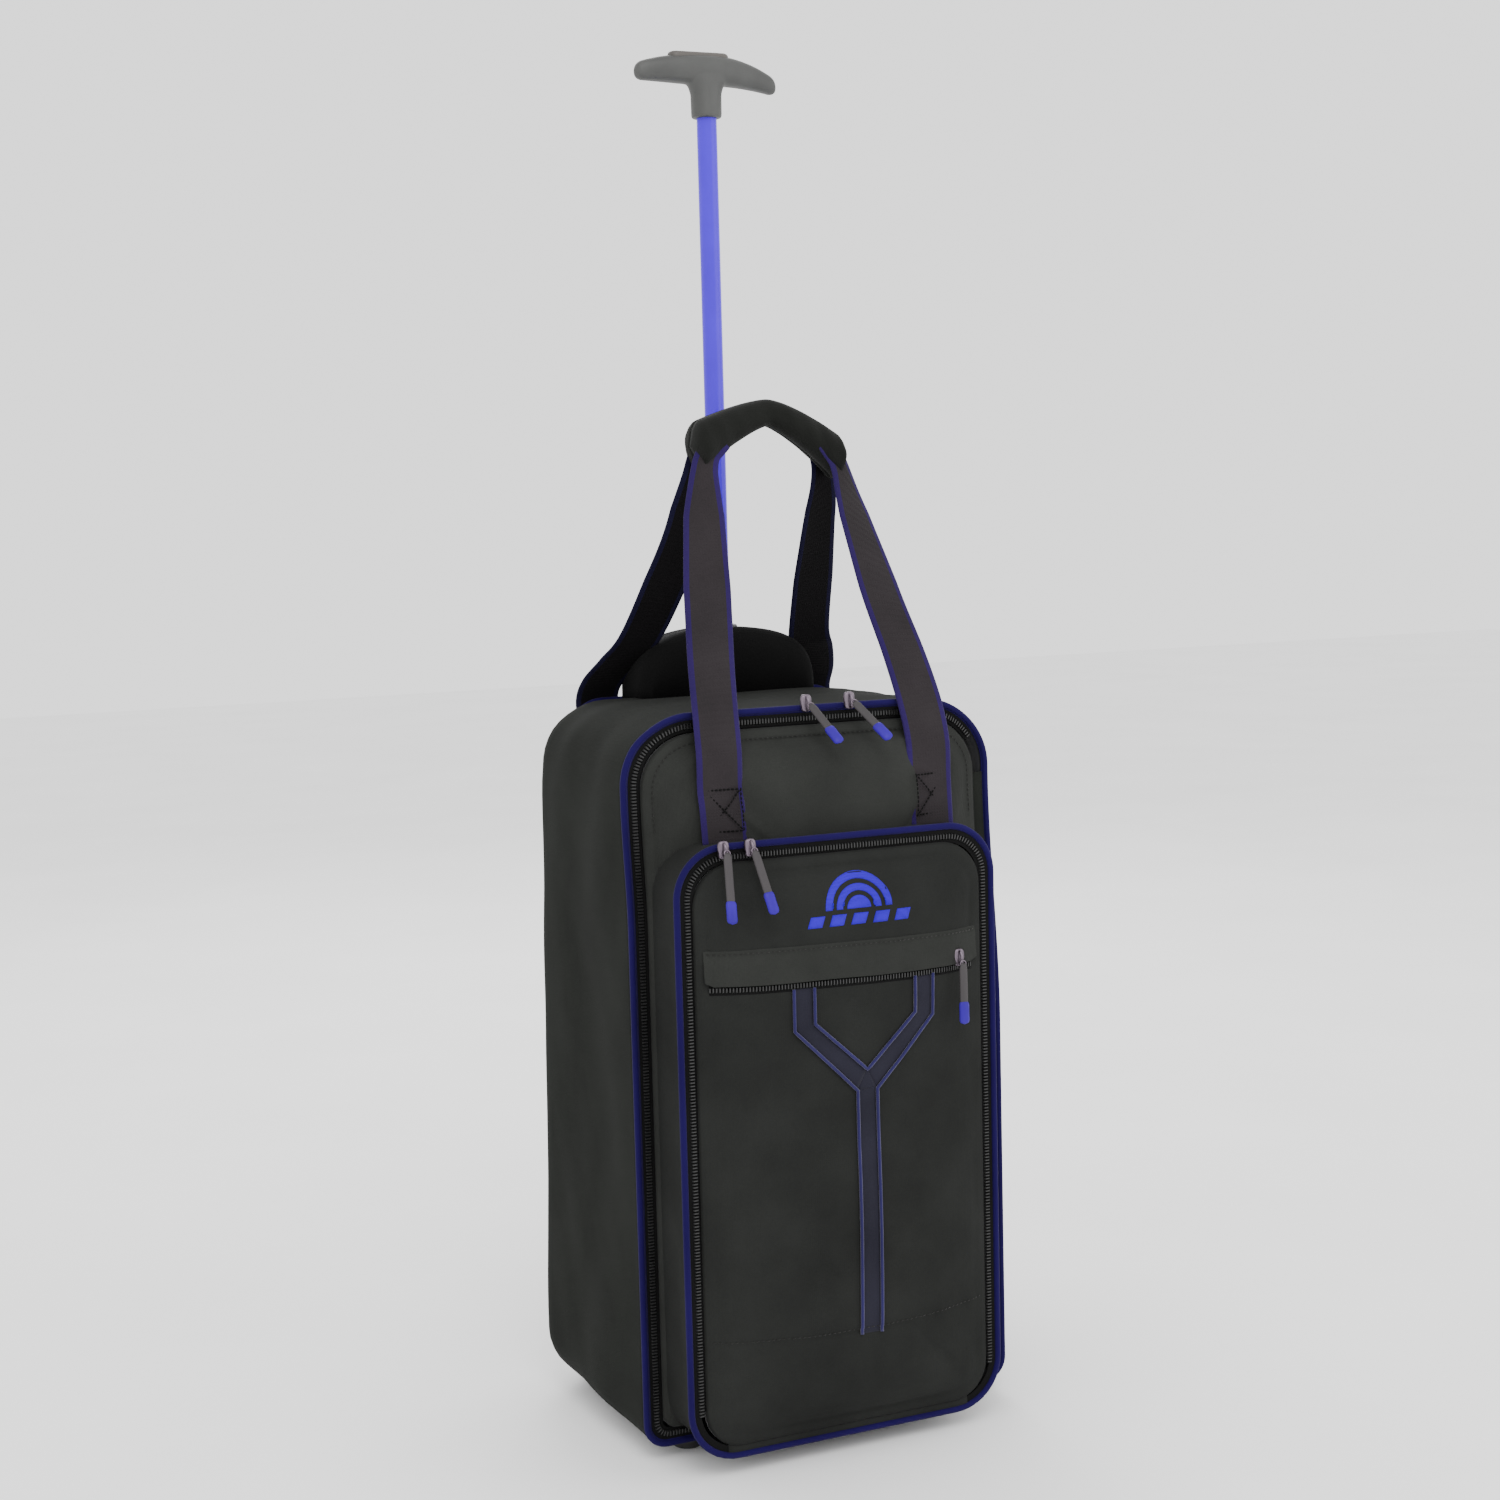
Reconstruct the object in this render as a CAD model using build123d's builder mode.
"""Trolley bag for bowling balls: padded fabric body on two wheels, door-type front panel with a
zipped outer pocket, two carry straps that meet in a padded grip, and a telescoping T-handle.

Frame: millimetres, +Z up, front of the bag towards -Y, origin on the floor under the middle.
"""
from build123d import *
import os
from math import cos, radians

os.makedirs("parts", exist_ok=True)

# ---------------------------------------------------------------- driving dimensions
half_width = 152.5          # middle of the bag to the front piping
front_y = -68.0             # plane of the front piping
rear_y = 124.0              # plane of the rear piping
pocket_y = -120.0           # plane of the pocket piping
bag_top = 556.0             # top of the fabric body
bag_bottom = 10.0           # underside of the base panel
wall = 5.0                  # foam-backed fabric
gap = 0.4                   # clearance between bodies that move apart
corner_top = 50.0           # outline radius of the upper corners
corner_low = 16.0           # outline radius of the lower corners
side_flare = 15.0           # how much wider the body is at the lower rear
rear_corner = 28.0          # radius of the upright rear corners

piping_radius = 2.6
zip_band = 10.0             # width of the zip between piping and panel
tape_half = 4.8             # width of one zip tape
tape_thick = 1.4

lid_crown = 28.0            # how far the lid stands out in the middle
pocket_half = 129.0
pocket_x = -10.0            # the pocket sits a little left of the middle
pocket_top = 467.0
pocket_bottom = 15.0
pocket_corner = 38.0
pocket_low_corner = 38.0
pocket_crown = 15.0

strap_width = 36.0
strap_thick = 2.4
grip_y = 7.0
grip_top = 784.0

tube_y = 103.0
outer_tube_radius = 10.0
inner_tube_radius = 8.0
tube_wall = 1.2
tube_play = 0.08
tee_top = 1060.0

wheel_radius = 30.0
wheel_width = 20.0
wheel_x = 112.0
wheel_y = 116.0
axle_radius = 4.0
axle_play = 0.05


# ---------------------------------------------------------------- shared shapes
def upright(y):
    """Vertical plane facing the front at depth y: sketches read X to the right and Z up."""
    return Plane.XZ.offset(-y)


def panel_face(half, bottom, top, top_radius, low_radius, middle=0.0):
    """Rounded rectangle in local coordinates."""
    with BuildSketch(Plane.XY, mode=Mode.PRIVATE) as face:
        with Locations((middle, (bottom + top) / 2)):
            Rectangle(2 * half, top - bottom)
        fillet(face.vertices().group_by(Axis.Y)[-1], top_radius)
        fillet(face.vertices().group_by(Axis.Y)[0], low_radius)
    return face.sketch_local


def ring_face(half, bottom, top, top_radius, low_radius, band, middle=0.0):
    """Band of constant width just inside a rounded rectangle."""
    with BuildSketch(Plane.XY, mode=Mode.PRIVATE) as ring:
        add(panel_face(half, bottom, top, top_radius, low_radius, middle))
        add(
            panel_face(half - band, bottom + band, top - band, top_radius - band, low_radius - band, middle),
            mode=Mode.SUBTRACT,
        )
    return ring.sketch_local


def piping(y, half, bottom, top, top_radius, low_radius, middle=0.0):
    """Round cord sewn into the seam along a rounded rectangle."""
    with BuildSketch(upright(y)) as outline:
        add(panel_face(half, bottom, top, top_radius, low_radius, middle))
    path = outline.sketch.face().outer_wire()
    with BuildPart() as cord:
        with BuildSketch(Plane(origin=path @ 0, z_dir=path % 0)):
            Circle(piping_radius)
        sweep(path=path)
    return cord.part


def save(part, label):
    part.label = label
    export_step(part, f"parts/{label}.step")


# ---------------------------------------------------------------- body panels
def side_section(flare, sign):
    """Plan section of a side panel: a straight flare and a rounded rear corner."""
    start = front_y + piping_radius + gap
    wide = half_width + flare
    turn = rear_y - rear_corner
    inner = rear_corner - wall
    half_turn = cos(radians(45))
    with BuildSketch(Plane.XY, mode=Mode.PRIVATE) as section:
        with BuildLine():
            outer = Line((sign * half_width, start), (sign * wide, turn))
            corner_x = wide - rear_corner + half_turn * rear_corner
            corner_mid = (sign * corner_x, turn + half_turn * rear_corner)
            corner = ThreePointArc(outer @ 1, corner_mid, (sign * (wide - rear_corner), rear_y))
            edge = Line(corner @ 1, (sign * (wide - rear_corner), rear_y - wall))
            inner_mid = (sign * (wide - rear_corner + half_turn * inner), turn + half_turn * inner)
            back = ThreePointArc(edge @ 1, inner_mid, (sign * (wide - wall), turn))
            inside = Line(back @ 1, (sign * (half_width - wall), start))
            Line(inside @ 1, outer @ 0)
        make_face()
    return section.sketch_local


side_low = bag_bottom + 6
side_high = bag_top - corner_top
wheel_bay_y = wheel_y - wheel_radius - 8
wheel_bay_top = wheel_radius * 2 + 14
wheel_bay_span = wheel_width + 16


def wheel_bay_cut(sign, grow):
    """Block of space that a wheel housing takes out of the lower rear corner."""
    centre_y = (wheel_bay_y + rear_y + 40) / 2
    with Locations((sign * wheel_x, centre_y, wheel_bay_top / 2)):
        Box(
            wheel_bay_span + 2 * grow,
            rear_y + 40 - wheel_bay_y + 2 * grow,
            wheel_bay_top + 2 * grow,
            mode=Mode.SUBTRACT,
        )


for name, sign in (("left_side_panel", -1), ("right_side_panel", 1)):
    with BuildPart() as side_panel:
        with BuildSketch(Plane.XY.offset(side_low)):
            add(side_section(side_flare, sign))
        with BuildSketch(Plane.XY.offset(side_high)):
            add(side_section(0, sign))
        loft(ruled=True)
        wheel_bay_cut(sign, gap)
    save(side_panel.part, name)

with BuildPart() as top_panel:
    with BuildSketch(upright(rear_y - wall)):
        with Locations((0, (side_high + bag_top) / 2)):
            Rectangle(2 * half_width, bag_top - side_high)
        fillet(vertices().group_by(Axis.Y)[-1], corner_top - 0.1)
        with BuildSketch(mode=Mode.SUBTRACT):
            with Locations((0, (side_high + bag_top - wall) / 2)):
                inner_top = Rectangle(2 * (half_width - wall), bag_top - wall - side_high)
            fillet(inner_top.vertices().group_by(Axis.Y)[-1], corner_top - wall - 0.1)
    extrude(amount=rear_y - wall - front_y - piping_radius - gap)
    with Locations((0, tube_y, bag_top)):
        Cylinder(outer_tube_radius + 4, 3 * wall, mode=Mode.SUBTRACT)
save(top_panel.part, "top_panel")

with BuildPart() as base_panel:
    with BuildSketch(Plane.XY.offset(bag_bottom)):
        with BuildLine():
            Polyline(
                (-half_width, front_y + piping_radius + gap),
                (half_width, front_y + piping_radius + gap),
                (half_width + side_flare, rear_y - rear_corner),
                (half_width + side_flare, rear_y),
                (-half_width - side_flare, rear_y),
                (-half_width - side_flare, rear_y - rear_corner),
                close=True,
            )
        make_face()
        fillet(vertices().group_by(Axis.Y)[-1], rear_corner - 1)
    extrude(amount=side_low - bag_bottom)
    wheel_bay_cut(-1, gap)
    wheel_bay_cut(1, gap)
save(base_panel.part, "base_panel")

back_half = half_width - rear_corner
with BuildPart() as back_panel:
    with BuildSketch(upright(rear_y + wall)):
        add(panel_face(back_half, bag_bottom, bag_top, 30, 12))
    extrude(amount=wall)
    wheel_bay_cut(-1, gap)
    wheel_bay_cut(1, gap)
save(back_panel.part, "back_panel")

front_cord = piping(front_y, half_width, bag_bottom + piping_radius, bag_top, corner_top, corner_low)
save(front_cord, "front_piping")

rear_cord_y = rear_y + wall + piping_radius
rear_cord = piping(rear_cord_y, back_half - 3, wheel_bay_top + 8, bag_top - 3, 28, 10)

# ---------------------------------------------------------------- stiffeners and ball trays
board = 2.5
board_gap = 1.0
board_back = rear_y - board_gap
with BuildPart() as back_board:
    with BuildSketch(upright(board_back)):
        with Locations((0, (side_low + 3 + bag_top - wall - 3) / 2)):
            Rectangle(2 * (back_half - 6), bag_top - wall - side_low - 6)
    extrude(amount=board)
    wheel_bay_cut(-1, 1)
    wheel_bay_cut(1, 1)
save(back_board.part, "back_board")

base_board_top = side_low + 4
with BuildPart() as base_board:
    with BuildSketch(Plane.XY.offset(side_low)):
        with Locations((0, (front_y + 12 + board_back - board - 2) / 2)):
            Rectangle(2 * (half_width - wall - 12), board_back - board - 2 - front_y - 12)
    extrude(amount=base_board_top - side_low)
    wheel_bay_cut(-1, 1)
    wheel_bay_cut(1, 1)
    with Locations((0, tube_y, side_low + 2)):
        Box(46, 34, 20, mode=Mode.SUBTRACT)
save(base_board.part, "base_board")

ball_radius = 64.0
tray_thick = 26.0
cup_depth = 20.0
tray_half = half_width - wall - 2
tray_front = front_y + 14
tray_rear = wheel_bay_y - 5
cup_x = 70.0
cup_y = (tray_front + tray_rear) / 2
upper_tray_z = 178.0
for name, level in (("lower_ball_tray", base_board_top), ("upper_ball_tray", upper_tray_z)):
    with BuildPart() as tray:
        with BuildSketch(Plane.XY.offset(level)):
            with Locations((0, cup_y)):
                Rectangle(2 * tray_half, tray_rear - tray_front)
        extrude(amount=tray_thick)
        with Locations(
            (-cup_x, cup_y, level + tray_thick - cup_depth + ball_radius),
            (cup_x, cup_y, level + tray_thick - cup_depth + ball_radius),
        ):
            Sphere(ball_radius, mode=Mode.SUBTRACT)
    save(tray.part, name)

# ---------------------------------------------------------------- telescoping handle
socket_top = side_low + 30
outer_tube_top = bag_top + 10
with BuildPart() as outer_tube:
    with BuildSketch(Plane.XY.offset(side_low + 6)):
        with Locations((0, tube_y)):
            Circle(outer_tube_radius)
            Circle(inner_tube_radius + tube_play, mode=Mode.SUBTRACT)
    extrude(amount=outer_tube_top - side_low - 6)
save(outer_tube.part, "outer_tube")

with BuildPart() as tube_socket:
    with BuildSketch(Plane.XY.offset(side_low)):
        with Locations((0, tube_y)):
            RectangleRounded(42, 30, 5)
    extrude(amount=socket_top - side_low)
    with BuildSketch(Plane.XY.offset(side_low + 6)):
        with Locations((0, tube_y)):
            Circle(outer_tube_radius)
    extrude(amount=socket_top, mode=Mode.SUBTRACT)
    with Locations((0, board_back, 40)):
        Box(60, 2 * board + 2, 80, mode=Mode.SUBTRACT)
save(tube_socket.part, "tube_socket")

collar_top = bag_top + 8
with BuildPart() as tube_collar:
    with BuildSketch(Plane.XY.offset(bag_top)):
        with Locations((0, tube_y)):
            RectangleRounded(64, 30, 9)
    extrude(amount=collar_top - bag_top)
    with BuildSketch(Plane.XY.offset(bag_top - wall)):
        with Locations((0, tube_y)):
            Circle(outer_tube_radius + 3.8)
    extrude(amount=wall)
    fillet(tube_collar.faces().sort_by(Axis.Z)[-1].edges(), 2)
    with BuildSketch(Plane.XY.offset(bag_top - wall)):
        with Locations((0, tube_y)):
            Circle(outer_tube_radius)
    extrude(amount=wall + 10, mode=Mode.SUBTRACT)
save(tube_collar.part, "tube_collar")

with BuildPart() as tube_screws:
    with Locations((-24, tube_y, collar_top), (24, tube_y, collar_top)):
        Cylinder(2.8, 1.4, align=(Align.CENTER, Align.CENTER, Align.MIN))
save(tube_screws.part, "tube_screws")

stem_bottom = 1011.0
inner_tube_foot = stem_bottom - 511.0
with BuildPart() as inner_tube:
    with BuildSketch(Plane.XY.offset(inner_tube_foot)):
        with Locations((0, tube_y)):
            Circle(inner_tube_radius)
            Circle(inner_tube_radius - tube_wall, mode=Mode.SUBTRACT)
    extrude(amount=stem_bottom + 10 - inner_tube_foot)
save(inner_tube.part, "inner_tube")

tee_half = 60.5
tee_waist = 11.5
tee_low = 1034.0
with BuildPart() as t_grip:
    with BuildSketch(upright(tube_y + 15)):
        with BuildLine():
            crown = ThreePointArc((-tee_half, 1042), (0, tee_top - 2), (tee_half, 1042))
            right_tip = RadiusArc(crown @ 1, (tee_half - 3, 1034), 5)
            under_right = ThreePointArc(right_tip @ 1, (34, tee_low + 5), (tee_waist + 3, tee_low - 2))
            right_side = Line(under_right @ 1, (tee_waist, stem_bottom))
            foot = Line(right_side @ 1, (-tee_waist, stem_bottom))
            left_side = Line(foot @ 1, (-tee_waist - 3, tee_low - 2))
            under_left = ThreePointArc(left_side @ 1, (-34, tee_low + 5), (-tee_half + 3, 1034))
            RadiusArc(under_left @ 1, crown @ 0, 5)
        make_face()
    extrude(amount=30)
    with BuildSketch(Plane.XY.offset(stem_bottom - 5)):
        with Locations((0, tube_y)):
            Ellipse(tee_half + 4, 13)
    extrude(amount=80, mode=Mode.INTERSECT)
    with BuildSketch(Plane.XY.offset(stem_bottom)):
        with Locations((0, tube_y)):
            Circle(inner_tube_radius)
    extrude(amount=10, mode=Mode.SUBTRACT)
    with BuildSketch(Plane.XY.offset(stem_bottom + 10)):
        with Locations((0, tube_y)):
            Circle(4)
    extrude(amount=60, mode=Mode.SUBTRACT)
    with BuildSketch(Plane.XY.offset(tee_top - 14)):
        with Locations((-6, tube_y)):
            SlotOverall(52, 14)
    extrude(amount=40, mode=Mode.SUBTRACT)
save(t_grip.part, "t_grip")

button_travel = 4.0
with BuildPart() as release_button:
    with BuildSketch(Plane.XY.offset(tee_top - 14 + button_travel + 0.6)):
        with Locations((-6, tube_y)):
            SlotOverall(52 - 0.8, 14 - 0.8)
    extrude(amount=14 - button_travel + 1.4)
    fillet(release_button.faces().sort_by(Axis.Z)[-1].edges(), 2.5)
save(release_button.part, "release_button")

rod_foot = inner_tube_foot + 16
with BuildPart() as release_rod:
    with BuildSketch(Plane.XY.offset(rod_foot)):
        with Locations((0, tube_y)):
            Circle(2.5)
    extrude(amount=tee_top - 14 + button_travel + 0.6 - rod_foot)
save(release_rod.part, "release_rod")

with BuildPart() as lock_block:
    with BuildSketch(Plane.XY.offset(inner_tube_foot + 0.5)):
        with Locations((0, tube_y)):
            Circle(inner_tube_radius - tube_wall)
    extrude(amount=10)
save(lock_block.part, "lock_block")

hood_half = 70.0
hood_top = 608.0
hood_front = 84.0
hood_wall = 2.5
with BuildPart() as handle_hood:
    with BuildSketch(upright(rear_y + wall)):
        with BuildLine():
            arch = ThreePointArc((-hood_half, bag_top), (0, hood_top), (hood_half, bag_top))
            Line(arch @ 1, arch @ 0)
        make_face()
    extrude(amount=rear_y + wall - hood_front)
    with BuildSketch(upright(rear_y + wall - hood_wall)):
        with BuildLine():
            inner_half = hood_half - 2 * hood_wall
            inner_top = (0, hood_top - hood_wall)
            inner_arch = ThreePointArc((-inner_half, bag_top), inner_top, (inner_half, bag_top))
            Line(inner_arch @ 1, inner_arch @ 0)
        make_face()
    extrude(amount=rear_y + wall - 2 * hood_wall - hood_front, mode=Mode.SUBTRACT)
    with Locations((0, tube_y, hood_top)):
        Cylinder(inner_tube_radius + 3, 4 * hood_wall + 8, mode=Mode.SUBTRACT)
save(handle_hood.part, "handle_hood")

# ---------------------------------------------------------------- wheels and feet
housing_wall = 2.5
axle_reach = wheel_bay_span - 0.5
housing_low = bag_bottom - 2
housing_deep = rear_y + wall - wheel_bay_y
housing_tall = wheel_bay_top - housing_low
housing_y = (wheel_bay_y + rear_y + wall) / 2
housing_z = (housing_low + wheel_bay_top) / 2
housing_room = wheel_bay_span - 2 * housing_wall
for name, sign in (("left_wheel_housing", -1), ("right_wheel_housing", 1)):
    with BuildPart() as housing:
        with Locations((sign * wheel_x, housing_y, housing_z)):
            Box(wheel_bay_span, housing_deep, housing_tall)
        with Locations((sign * wheel_x, housing_y + housing_wall, housing_z - housing_wall)):
            Box(housing_room, housing_deep, housing_tall, mode=Mode.SUBTRACT)
        with Locations(Location((sign * wheel_x, wheel_y, wheel_radius), (0, 90, 0))):
            Cylinder(axle_radius, 2 * wheel_bay_span, mode=Mode.SUBTRACT)
    save(housing.part, name)

with BuildPart() as axles:
    for sign in (-1, 1):
        with Locations(Location((sign * wheel_x, wheel_y, wheel_radius), (0, 90, 0))):
            Cylinder(axle_radius, axle_reach)
save(axles.part, "axles")

hub_radius = 22.0
bearing_radius = 9.0
bearing_proud = wheel_bay_span / 2 - housing_wall - 0.3 - wheel_width / 2
for side, sign in (("left", -1), ("right", 1)):
    axis = Plane(origin=(sign * wheel_x - wheel_width / 2, wheel_y, wheel_radius), z_dir=(1, 0, 0))
    with BuildPart() as tyre:
        with BuildSketch(axis):
            Circle(wheel_radius)
            Circle(hub_radius, mode=Mode.SUBTRACT)
        extrude(amount=wheel_width)
        fillet(tyre.edges().filter_by(GeomType.CIRCLE).group_by(SortBy.RADIUS)[-1], 4)
    save(tyre.part, f"{side}_tyre")
    with BuildPart() as hub:
        with BuildSketch(axis.offset(1)):
            Circle(hub_radius)
            Circle(bearing_radius, mode=Mode.SUBTRACT)
        extrude(amount=wheel_width - 2)
        with BuildSketch(axis.offset(1)):
            with PolarLocations(15.5, 5):
                Circle(4)
        extrude(amount=wheel_width - 2, mode=Mode.SUBTRACT)
    save(hub.part, f"{side}_hub")
    with BuildPart() as bearing:
        with BuildSketch(axis.offset(-bearing_proud)):
            Circle(bearing_radius)
            Circle(axle_radius + axle_play, mode=Mode.SUBTRACT)
        extrude(amount=wheel_width + 2 * bearing_proud)
    save(bearing.part, f"{side}_bearing")

foot_x = 112.0
foot_y = -48.0
foot_radius = 13.0
for side, sign in (("left", -1), ("right", 1)):
    with BuildPart() as foot:
        with Locations((sign * foot_x, foot_y, 0)):
            Cone(foot_radius - 2, foot_radius, bag_bottom, align=(Align.CENTER, Align.CENTER, Align.MIN))
        fillet(foot.faces().sort_by(Axis.Z)[0].edges(), 1.5)
    save(foot.part, f"{side}_foot")

# ---------------------------------------------------------------- main zip and door
lid_half = half_width - zip_band - piping_radius
lid_top = bag_top - zip_band - piping_radius
lid_bottom = bag_bottom + zip_band + 2 * piping_radius
lid_corner = corner_top - zip_band - piping_radius
lid_low_corner = corner_low - zip_band - piping_radius
lid_bevel = 12.0             # bevel of the door's upper and lower front edges
pocket_bevel = 18.0          # bevel of the pocket's upper and lower front edges
tape_out = half_width - piping_radius
tape_top = bag_top - piping_radius
tape_low = bag_bottom + 2 * piping_radius
tape_corner = corner_top - piping_radius
low_corner = corner_low - piping_radius
mid = tape_half + gap

with BuildPart() as main_zip_body:
    with BuildSketch(upright(front_y + tape_thick / 2)):
        add(ring_face(tape_out, tape_low, tape_top, tape_corner, low_corner, tape_half))
        with Locations((half_width, (tape_low + tape_top) / 2)):
            Rectangle(2 * zip_band + 8, tape_top - tape_low - 2 * tape_half - 4, mode=Mode.SUBTRACT)
    extrude(amount=tape_thick)
save(main_zip_body.part, "main_zip_body_tape")

with BuildPart() as main_zip_lid:
    with BuildSketch(upright(front_y + tape_thick / 2)):
        add(
            ring_face(
                tape_out - mid, tape_low + mid, tape_top - mid, tape_corner - mid, low_corner - mid, tape_half
            )
        )
        with Locations((half_width, (tape_low + tape_top) / 2)):
            Rectangle(2 * zip_band + 8, tape_top - tape_low, mode=Mode.SUBTRACT)
    extrude(amount=tape_thick)
save(main_zip_lid.part, "main_zip_lid_tape")

hinge_low = tape_low + 24
hinge_high = bag_top - corner_top - 6
with BuildPart() as door_hinge_strip:
    with BuildSketch(upright(front_y + tape_thick / 2)):
        with Locations((half_width - piping_radius - 2, (hinge_low + hinge_high) / 2)):
            Rectangle(4, hinge_high - hinge_low)
    extrude(amount=tape_thick)
save(door_hinge_strip.part, "door_hinge_strip")


def crown_section(half, crown, back, shift, middle=0.0):
    """Plan section bounded by a straight back and a bowed front."""
    with BuildSketch(Plane.XY, mode=Mode.PRIVATE) as section:
        with BuildLine():
            bow = ThreePointArc((middle - half, shift), (middle, shift - crown), (middle + half, shift))
            Polyline(bow @ 1, (middle + half, back), (middle - half, back), bow @ 0)
        make_face()
    return section.sketch_local


def side_profile(front, back, low, high, bevel):
    """Side view of a padded face: both front corners bevelled, the rest left with room to spare."""
    spare = 20.0
    with BuildSketch(Plane.XY, mode=Mode.PRIVATE) as profile:
        with BuildLine():
            Polyline(
                (back + 2 * spare, high + spare),
                (front + bevel + spare, high + spare),
                (front - spare, high - bevel - spare),
                (front - spare, low + bevel + spare),
                (front + bevel + spare, low - spare),
                (back + 2 * spare, low - spare),
                close=True,
            )
        make_face()
    return profile.sketch_local


def padded_block(half, crown, front, back, low, high, corners, bevel, middle):
    """Rounded panel whose front is bowed about a vertical axis and bevelled above and below."""
    top_radius, low_radius = corners
    peak = front - crown
    bow = (half**2 + crown**2) / (2 * crown)
    with BuildPart(mode=Mode.PRIVATE) as block:
        with BuildSketch(upright(back)):
            add(panel_face(half, low, high, top_radius, low_radius, middle))
        extrude(amount=back - peak + 10)
        with BuildSketch(Plane.XY.offset(low - 10)):
            with Locations((middle, peak + bow)):
                Circle(bow)
        extrude(amount=high - low + 20, mode=Mode.INTERSECT)
        with BuildSketch(Plane.YZ.offset(middle - half - 10)):
            add(side_profile(peak, back, low, high, bevel))
        extrude(amount=2 * half + 20, mode=Mode.INTERSECT)
    return block.part


def padded_shell(half, crown, front, back, low, high, corners, bevel, thick, middle=0.0):
    """Padded face panel, open at the back."""
    inner_corners = [max(radius - thick, 1.0) for radius in corners]
    with BuildPart() as shell:
        add(padded_block(half, crown, front, back, low, high, corners, bevel, middle))
        add(
            padded_block(
                half - thick,
                crown - 1,
                front + thick - 1,
                back + 2,
                low + thick,
                high - thick,
                inner_corners,
                bevel - thick / 2,
                middle,
            ),
            mode=Mode.SUBTRACT,
        )
    return shell.part


lid_back = front_y + 1.0
lid_front = front_y - 3.0
lid_panel = padded_shell(
    lid_half,
    lid_crown,
    lid_front,
    lid_back,
    lid_bottom,
    lid_top,
    (lid_corner, lid_low_corner),
    lid_bevel,
    wall,
)
save(lid_panel, "lid_panel")

# ---------------------------------------------------------------- outer pocket on the door
pocket_wall = 3.0
pocket_skin_y = pocket_y + piping_radius + gap
with BuildPart() as pocket_gusset:
    with BuildSketch(upright(front_y - 3.4)):
        add(
            ring_face(
                pocket_half,
                pocket_bottom,
                pocket_top,
                pocket_corner,
                pocket_low_corner,
                pocket_wall,
                pocket_x,
            )
        )
    extrude(amount=front_y - 3.4 - pocket_skin_y)
    with BuildSketch(Plane.XY.offset(0)):
        add(crown_section(lid_half, lid_crown, lid_back + 20, front_y - 3.2))
    extrude(amount=bag_top, mode=Mode.SUBTRACT)
save(pocket_gusset.part, "pocket_gusset")

pocket_cord = piping(
    pocket_y,
    pocket_half - 1,
    pocket_bottom + 1,
    pocket_top - 1,
    pocket_corner - 1,
    pocket_low_corner - 1,
    pocket_x,
)
save(pocket_cord, "pocket_piping")

p_out = pocket_half - 1 - piping_radius
p_top = pocket_top - 1 - piping_radius
p_low = pocket_bottom + 1 + piping_radius
p_corner = pocket_corner - 1 - piping_radius
p_low_corner = pocket_low_corner - 1 - piping_radius
with BuildPart() as pocket_zip_gusset:
    with BuildSketch(upright(pocket_y + tape_thick / 2)):
        add(ring_face(p_out, p_low, p_top, p_corner, p_low_corner, tape_half, pocket_x))
        with Locations((pocket_x, p_low)):
            Rectangle(2 * (p_out - p_low_corner), 2 * zip_band + 6, mode=Mode.SUBTRACT)
    extrude(amount=tape_thick)
save(pocket_zip_gusset.part, "pocket_zip_gusset_tape")

with BuildPart() as pocket_zip_face:
    with BuildSketch(upright(pocket_y + tape_thick / 2)):
        add(
            ring_face(
                p_out - mid, p_low + mid, p_top - mid, p_corner - mid, p_low_corner - mid, tape_half, pocket_x
            )
        )
        with Locations((pocket_x, p_low)):
            Rectangle(2 * p_out, 2 * (p_low_corner + 1), mode=Mode.SUBTRACT)
    extrude(amount=tape_thick)
save(pocket_zip_face.part, "pocket_zip_face_tape")

face_half = p_out - mid - tape_half
face_top = p_top - mid - tape_half
face_low = p_low + zip_band - 4
face_corner = p_corner - mid - tape_half
face_low_corner = p_low_corner - mid - tape_half
face_front = pocket_y - 2.0
pocket_panel = padded_shell(
    face_half,
    pocket_crown,
    face_front,
    pocket_y + 1,
    face_low,
    face_top,
    (face_corner, face_low_corner),
    pocket_bevel,
    pocket_wall,
    pocket_x,
)
save(pocket_panel, "pocket_panel")


def face_layer(outline, lift, thick):
    """Thin layer that follows the bowed pocket panel, cut to an outline."""
    with BuildPart() as layer:
        with BuildSketch(upright(pocket_y)):
            add(outline)
        extrude(amount=60)
        with BuildSketch(Plane.XY):
            add(crown_section(face_half, pocket_crown, pocket_y, pocket_y - 2 - lift, pocket_x))
        extrude(amount=bag_top, mode=Mode.SUBTRACT)
        with BuildSketch(Plane.XY):
            add(crown_section(face_half, pocket_crown, pocket_y, pocket_y - 2 - lift - thick, pocket_x))
        extrude(amount=bag_top, mode=Mode.INTERSECT)
    return layer.part


emblem_x = -2.0
emblem_z = 423.0
emblem_wide = 92.0
emblem_tall = 42.0
emblem_thick = 0.9
flap_z = 380.0
flap_wide = 222.0
flap_tall = 26.0
flap_thick = 2.5
trim_thick = 0.8

with BuildSketch() as emblem_outline:
    with Locations((emblem_x, emblem_z)):
        SlotOverall(emblem_wide, emblem_tall)

with BuildSketch() as flap_outline:
    with Locations((pocket_x, flap_z)):
        Rectangle(flap_wide, flap_tall)

trim_half = 57.0
trim_band = 16.0
trim_bend = 330.0
trim_join = 281.0
trim_foot = 97.0
trim_head = 366.0


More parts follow.
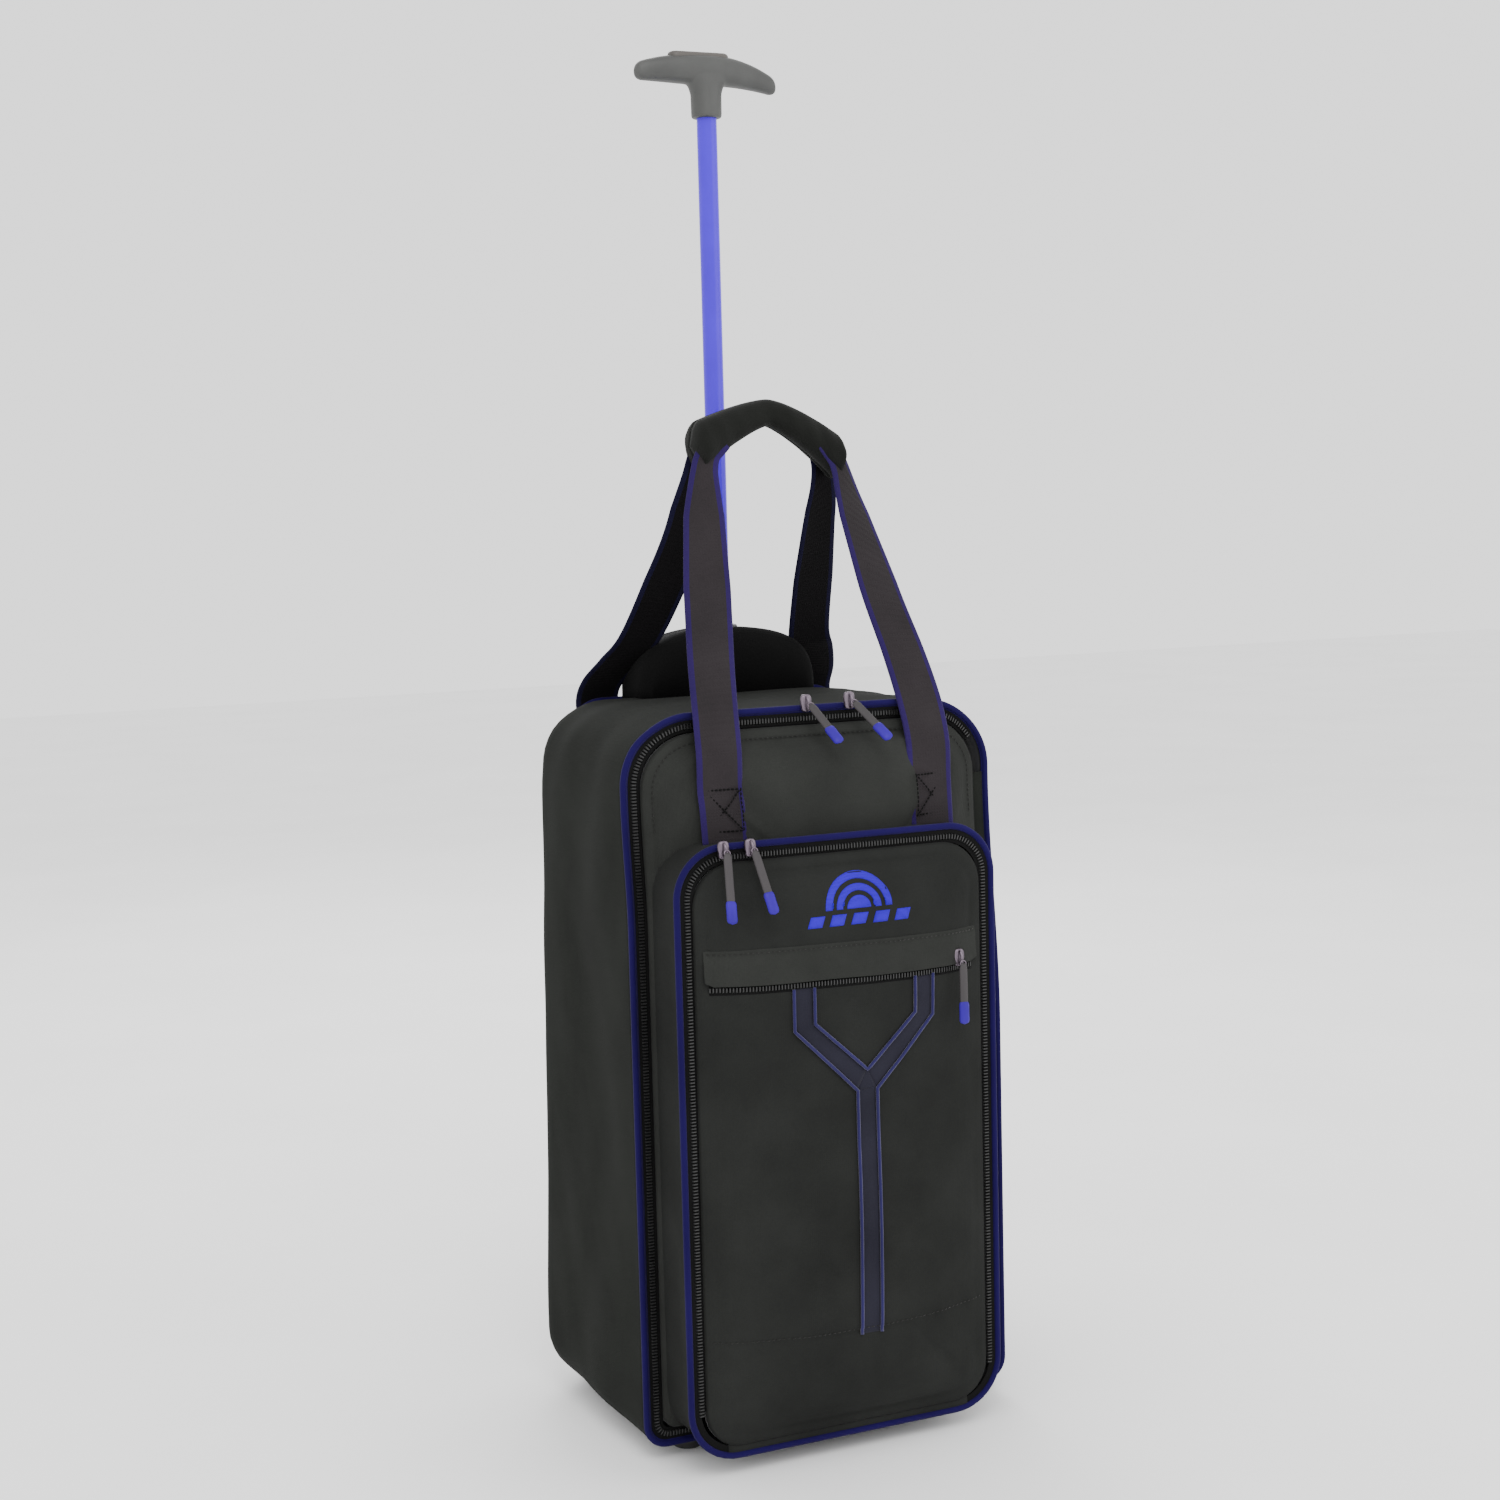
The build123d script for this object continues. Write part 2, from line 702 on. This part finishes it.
with BuildSketch() as trim_outline:
    with BuildLine():
        Polyline(
            (-trim_half, trim_head),
            (-trim_half, trim_bend),
            (-trim_band / 2, trim_join),
            (-trim_band / 2, trim_foot),
            (trim_band / 2, trim_foot),
            (trim_band / 2, trim_join),
            (trim_half, trim_bend),
            (trim_half, trim_head),
            (trim_half - trim_band, trim_head),
            (trim_half - trim_band, trim_bend + 4),
            (0, trim_join + 15),
            (-trim_half + trim_band, trim_bend + 4),
            (-trim_half + trim_band, trim_head),
            close=True,
        )
    make_face()

save(face_layer(emblem_outline.sketch, 0, emblem_thick), "emblem_patch")
save(face_layer(flap_outline.sketch, 0, flap_thick), "small_pocket_flap")
save(face_layer(trim_outline.sketch, 0, trim_thick), "trim_band")


# ---------------------------------------------------------------- sliders and pulls
def slider_block(x, y, z):
    """Small die-cast slider body standing in front of its zip."""
    with BuildPart() as block:
        with Locations((x, y - slider_depth / 2, z)):
            Box(9, slider_depth, 13)
        fillet(block.edges().filter_by(Axis.Y), 2)
    return block.part


def pull_plane(start, end):
    """Plane at the pull's upper end, its Y axis along the pull and its Z axis away from the bag."""
    along = (Vector(*end) - Vector(*start)).normalized()
    facing = Vector(0, -1, 0)
    outward = (facing - along * facing.dot(along)).normalized()
    return Plane(origin=start, x_dir=along.cross(outward), z_dir=outward)


def pull_tab(start, end):
    """Flat cord pull with a moulded tip, from its slider's eye to its free end."""
    length = (Vector(*end) - Vector(*start)).length
    plane = pull_plane(start, end)
    with BuildPart() as tab:
        with BuildSketch(plane.offset(-pull_thick / 2)):
            with Locations((0, length / 2)):
                RectangleRounded(pull_width, length, 2)
        extrude(amount=pull_thick)
        with BuildSketch(plane.offset(-pull_tip_thick / 2)):
            with Locations((0, length - pull_tip / 2)):
                RectangleRounded(pull_width + 2, pull_tip, 3)
        extrude(amount=pull_tip_thick)
    return tab.part


pull_width = 7.0
pull_thick = 2.2
pull_tip = 18.0
pull_tip_thick = 3.6
slider_depth = 7.0
eye = slider_depth + pull_thick / 2 + 0.5

main_slider_y = front_y - piping_radius - gap
main_slider_z = bag_top + 1
main_pull_reach = 40.0      # how far the upper pulls stand out over the bowed lid
main_pull_drop = 24.0
main_pulls = {
    "main_left": (
        (-10, main_slider_y - eye, main_slider_z + 3),
        (-1, main_slider_y - main_pull_reach, main_slider_z - main_pull_drop),
    ),
    "main_right": (
        (26, main_slider_y - eye, main_slider_z + 3),
        (40, main_slider_y - main_pull_reach, main_slider_z - main_pull_drop),
    ),
}
pocket_slider_y = pocket_y - piping_radius - gap
pocket_slider_z = p_top + 1
pocket_pull_tilt = 20.0
pocket_pulls = {
    "pocket_left": (
        (-103, pocket_slider_y - eye, pocket_slider_z),
        (-109, pocket_slider_y - eye - pocket_pull_tilt, pocket_slider_z - 49),
    ),
    "pocket_right": (
        (-82, pocket_slider_y - eye, pocket_slider_z),
        (-76, pocket_slider_y - eye - pocket_pull_tilt, pocket_slider_z - 45),
    ),
}
small_slider_x = 82.0
small_slider_z = 369.0
face_bow_radius = (face_half**2 + pocket_crown**2) / (2 * pocket_crown)
face_bow_centre = pocket_y - 2 - pocket_crown + face_bow_radius
small_reach = face_bow_radius + 2.5 + gap
small_slider_y = face_bow_centre - (small_reach**2 - (small_slider_x - pocket_x) ** 2) ** 0.5 - 0.9
small_start = (small_slider_x, small_slider_y - eye, small_slider_z - 2)
small_end = (small_slider_x - 3, small_slider_y - eye - 6, small_slider_z - 48)

for pulls, slider_y in ((main_pulls, main_slider_y), (pocket_pulls, pocket_slider_y)):
    for name, (start, end) in pulls.items():
        save(slider_block(start[0], slider_y, start[2]), f"{name}_slider")
        save(pull_tab(start, end), f"{name}_pull")
save(slider_block(small_slider_x, small_slider_y, small_slider_z), "small_zip_slider")
save(pull_tab(small_start, small_end), "small_zip_pull")


# ---------------------------------------------------------------- carry straps
def strap_leg(low, high, width):
    """Flat webbing between two points, its width square to the run and level with the bag."""
    along = (Vector(*high) - Vector(*low)).normalized()
    facing = Vector(0, -1, 0)
    outward = (facing - along * facing.dot(along)).normalized()
    length = (Vector(*high) - Vector(*low)).length
    plane = Plane(origin=low, x_dir=along.cross(outward), z_dir=outward)
    with BuildPart(mode=Mode.PRIVATE) as leg:
        with BuildSketch(plane.offset(-strap_thick / 2)):
            with Locations((0, length / 2)):
                Rectangle(width, length)
        extrude(amount=strap_thick)
        with Locations(Location(high, (0, 90, 0))):
            Cylinder(strap_thick / 2, width)
    return leg.part


def grip_band(outer, rise, inner, sag, low, thick, y):
    """Arched band that runs inside the padded wrap."""
    with BuildPart(mode=Mode.PRIVATE) as band:
        with BuildSketch(upright(y + thick / 2)):
            with BuildLine():
                over = ThreePointArc((-outer, low + 14), (0, rise), (outer, low + 14))
                Line(over @ 1, (inner, low))
                under = ThreePointArc((inner, low), (0, sag), (-inner, low))
                Line(under @ 1, over @ 0)
            make_face()
        extrude(amount=thick)
    return band.part


front_hinge_y = -97.5
front_hinge_z = 507.0
strap_foot_x = 84.0
strap_top_x = 60.0
strap_top_z = 735.0
front_strap_top_y = -1.0
front_strap_bend_z = 552.0
band_thick = 3.0
band_low = strap_top_z - 3
band_rise = grip_top
band_sag = grip_top - 14
with BuildPart() as front_strap:
    for sign in (-1, 1):
        foot = (sign * strap_foot_x, front_hinge_y, front_hinge_z)
        edge = (sign * strap_foot_x, front_hinge_y + 1, front_strap_bend_z)
        top = (sign * strap_top_x, front_strap_top_y, strap_top_z)
        add(strap_leg(foot, edge, strap_width))
        add(strap_leg(edge, top, strap_width))
    add(
        grip_band(
            strap_top_x + 8, band_rise, strap_top_x - 4, band_sag, band_low, band_thick, front_strap_top_y
        )
    )
save(front_strap.part, "front_strap")

rear_hinge_y = 134.0
rear_hinge_z = 564.5
rear_strap_top_y = 15.0
rear_foot_x = 96.0
rear_knee = (75.0, 90.0, 605.0)
with BuildPart() as rear_strap:
    for sign in (-1, 1):
        foot = (sign * rear_foot_x, rear_hinge_y, rear_hinge_z)
        knee = (sign * rear_knee[0], rear_knee[1], rear_knee[2])
        top = (sign * strap_top_x, rear_strap_top_y, strap_top_z)
        add(strap_leg(foot, knee, strap_width))
        add(strap_leg(knee, top, strap_width))
    add(
        grip_band(
            strap_top_x + 8, band_rise, strap_top_x - 4, band_sag, band_low, band_thick, rear_strap_top_y
        )
    )
save(rear_strap.part, "rear_strap")

wrap_half = 68.0
wrap_thick = 22.0


def wrap_shell(front, strap):
    """Half of the padded wrap, moulded round its own strap."""
    with BuildPart() as shell:
        with BuildSketch(upright(front + wrap_thick)):
            with BuildLine():
                over = ThreePointArc((-wrap_half, 757), (0, grip_top + 4), (wrap_half, 757))
                Line(over @ 1, (wrap_half - 10, 728))
                under = ThreePointArc((wrap_half - 10, 728), (0, 766), (-wrap_half + 10, 728))
                Line(under @ 1, over @ 0)
            make_face()
        extrude(amount=wrap_thick)
        add(strap, mode=Mode.SUBTRACT)
    return shell.part


save(wrap_shell(grip_y - gap / 2 - wrap_thick, front_strap.part), "front_grip_pad")
save(wrap_shell(grip_y + gap / 2, rear_strap.part), "rear_grip_pad")

anchor_high = front_hinge_z - 4
anchor_low = pocket_top + 2
anchor_middle = (anchor_low + anchor_high) / 2
with BuildPart() as front_anchors:
    with BuildSketch(upright(front_y)):
        with Locations((-strap_foot_x, anchor_middle), (strap_foot_x, anchor_middle)):
            Rectangle(strap_width, anchor_high - anchor_low)
    extrude(amount=60)
    with BuildSketch(Plane.XY):
        add(crown_section(lid_half, lid_crown, lid_back, front_y - 3))
    extrude(amount=bag_top, mode=Mode.SUBTRACT)
    with BuildSketch(Plane.XY):
        add(crown_section(lid_half, lid_crown, lid_back, front_y - 3 - strap_thick))
    extrude(amount=bag_top, mode=Mode.INTERSECT)
save(front_anchors.part, "front_strap_ends")

rear_anchor_y = rear_y + wall + strap_thick / 2
rear_anchor_z = 498.0
rear_anchor_tall = 46.0
with BuildPart() as rear_anchors:
    with Locations((-rear_foot_x, rear_anchor_y, rear_anchor_z), (rear_foot_x, rear_anchor_y, rear_anchor_z)):
        Box(strap_width, strap_thick, rear_anchor_tall)
save(rear_anchors.part, "rear_strap_ends")
save(rear_cord, "rear_piping")
